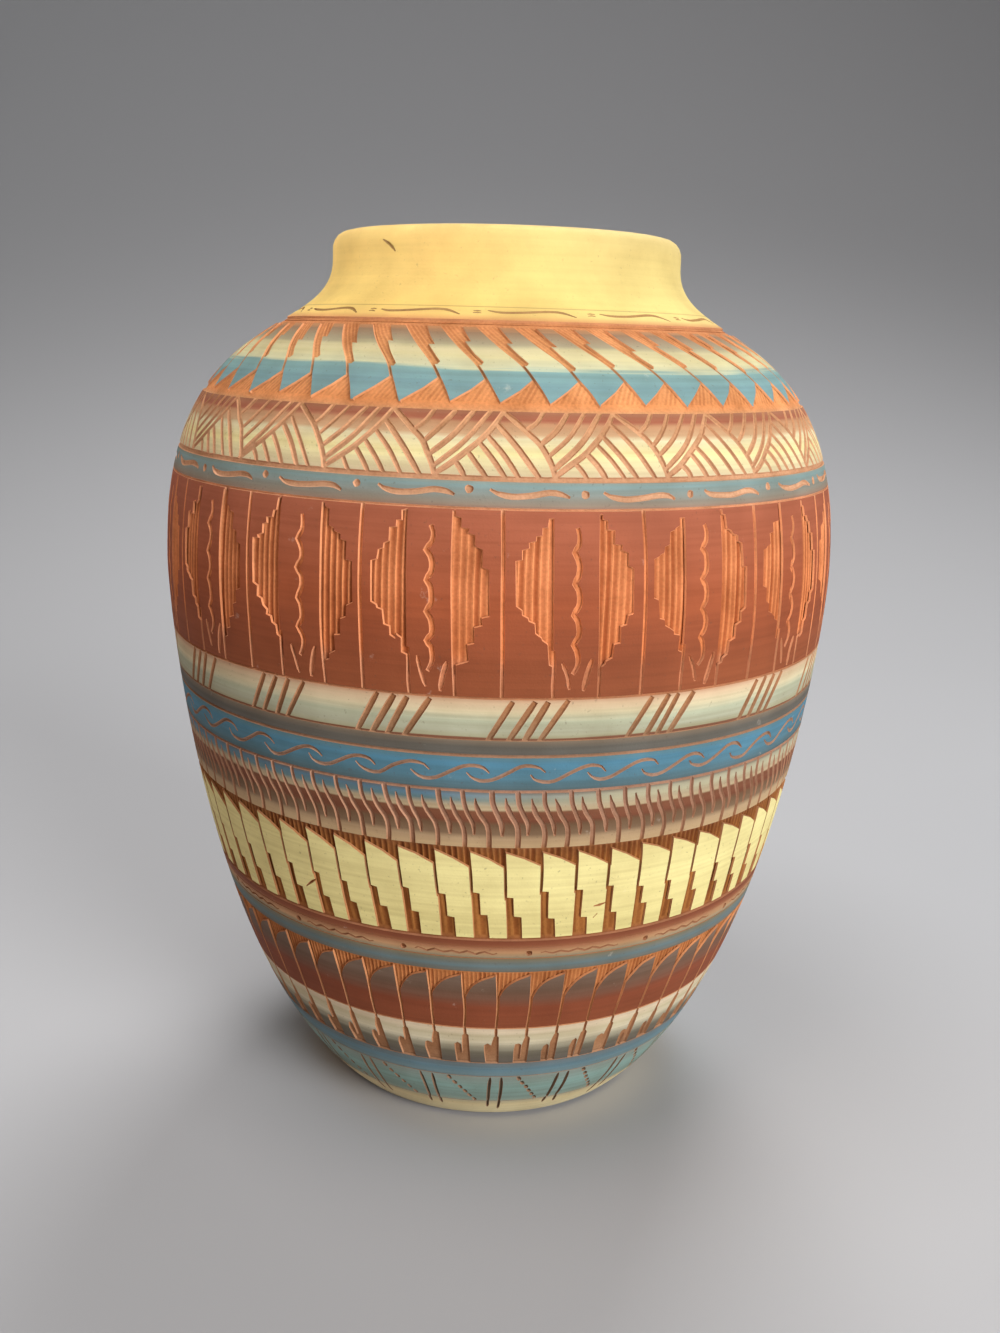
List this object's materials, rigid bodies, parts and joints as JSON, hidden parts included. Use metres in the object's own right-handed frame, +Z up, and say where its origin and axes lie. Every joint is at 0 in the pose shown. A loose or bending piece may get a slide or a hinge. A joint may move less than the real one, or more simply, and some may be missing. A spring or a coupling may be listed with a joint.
{
  "type": "etched pottery vase",
  "caption": "Round-shouldered pottery vase with a short neck and open mouth; its red clay body is painted in coloured slip bands etched with feathers, steps, zigzags and waves.",
  "frame": {"origin": "middle of the flat underside of the foot", "axes": "+Z up along the vase's axis, out of the mouth; -Y is the side that faces the viewer"},
  "size_m": [0.1908, 0.1908, 0.2464],
  "materials": {
    "red_clay": "bare fired clay, matte, with tool marks",
    "foot_ring_slip": "matte cream slip",
    "foot_lattice_slip": "matte teal slip",
    "foot_blue_slip": "matte blue slip",
    "feather_root_slip": "matte white slip fading to grey-blue",
    "pointed_feather_slip": "matte grey slip fading to rust",
    "grey_blue_ring_slip": "matte grey-blue slip",
    "tan_scroll_slip": "matte tan slip",
    "rust_ring_slip": "matte rust slip",
    "stair_feather_slip": "matte pale yellow slip",
    "rib_slip": "matte slip in soft teal, cream and brown stripes",
    "wave_slip": "matte blue slip",
    "dark_ring_slip": "matte dark grey slip",
    "stroke_group_slip": "matte cream slip fading to grey-green",
    "stepped_panel_slip": "matte rust-red slip",
    "dash_and_dot_slip": "matte blue-grey slip",
    "zigzag_slip": "matte cream-green slip fading to rust at the top",
    "shoulder_feather_slip": "matte slip in grey-olive, cream and turquoise stripes",
    "neck_slip": "matte cream-yellow slip"
  },
  "bodies": {
    "root": {"clay_body": "red_clay", "foot_ring_coat": "foot_ring_slip", "foot_lattice_coat": "foot_lattice_slip", "foot_blue_coat": "foot_blue_slip", "feather_root_coat": "feather_root_slip", "pointed_feather_coat": "pointed_feather_slip", "grey_blue_ring_coat": "grey_blue_ring_slip", "tan_scroll_coat": "tan_scroll_slip", "rust_ring_coat": "rust_ring_slip", "stair_feather_coat": "stair_feather_slip", "rib_coat": "rib_slip", "wave_coat": "wave_slip", "dark_ring_coat": "dark_ring_slip", "stroke_group_coat": "stroke_group_slip", "stepped_panel_coat": "stepped_panel_slip", "dash_and_dot_coat": "dash_and_dot_slip", "zigzag_coat": "zigzag_slip", "shoulder_feather_coat": "shoulder_feather_slip", "neck_coat": "neck_slip"}
  },
  "joints": []
}
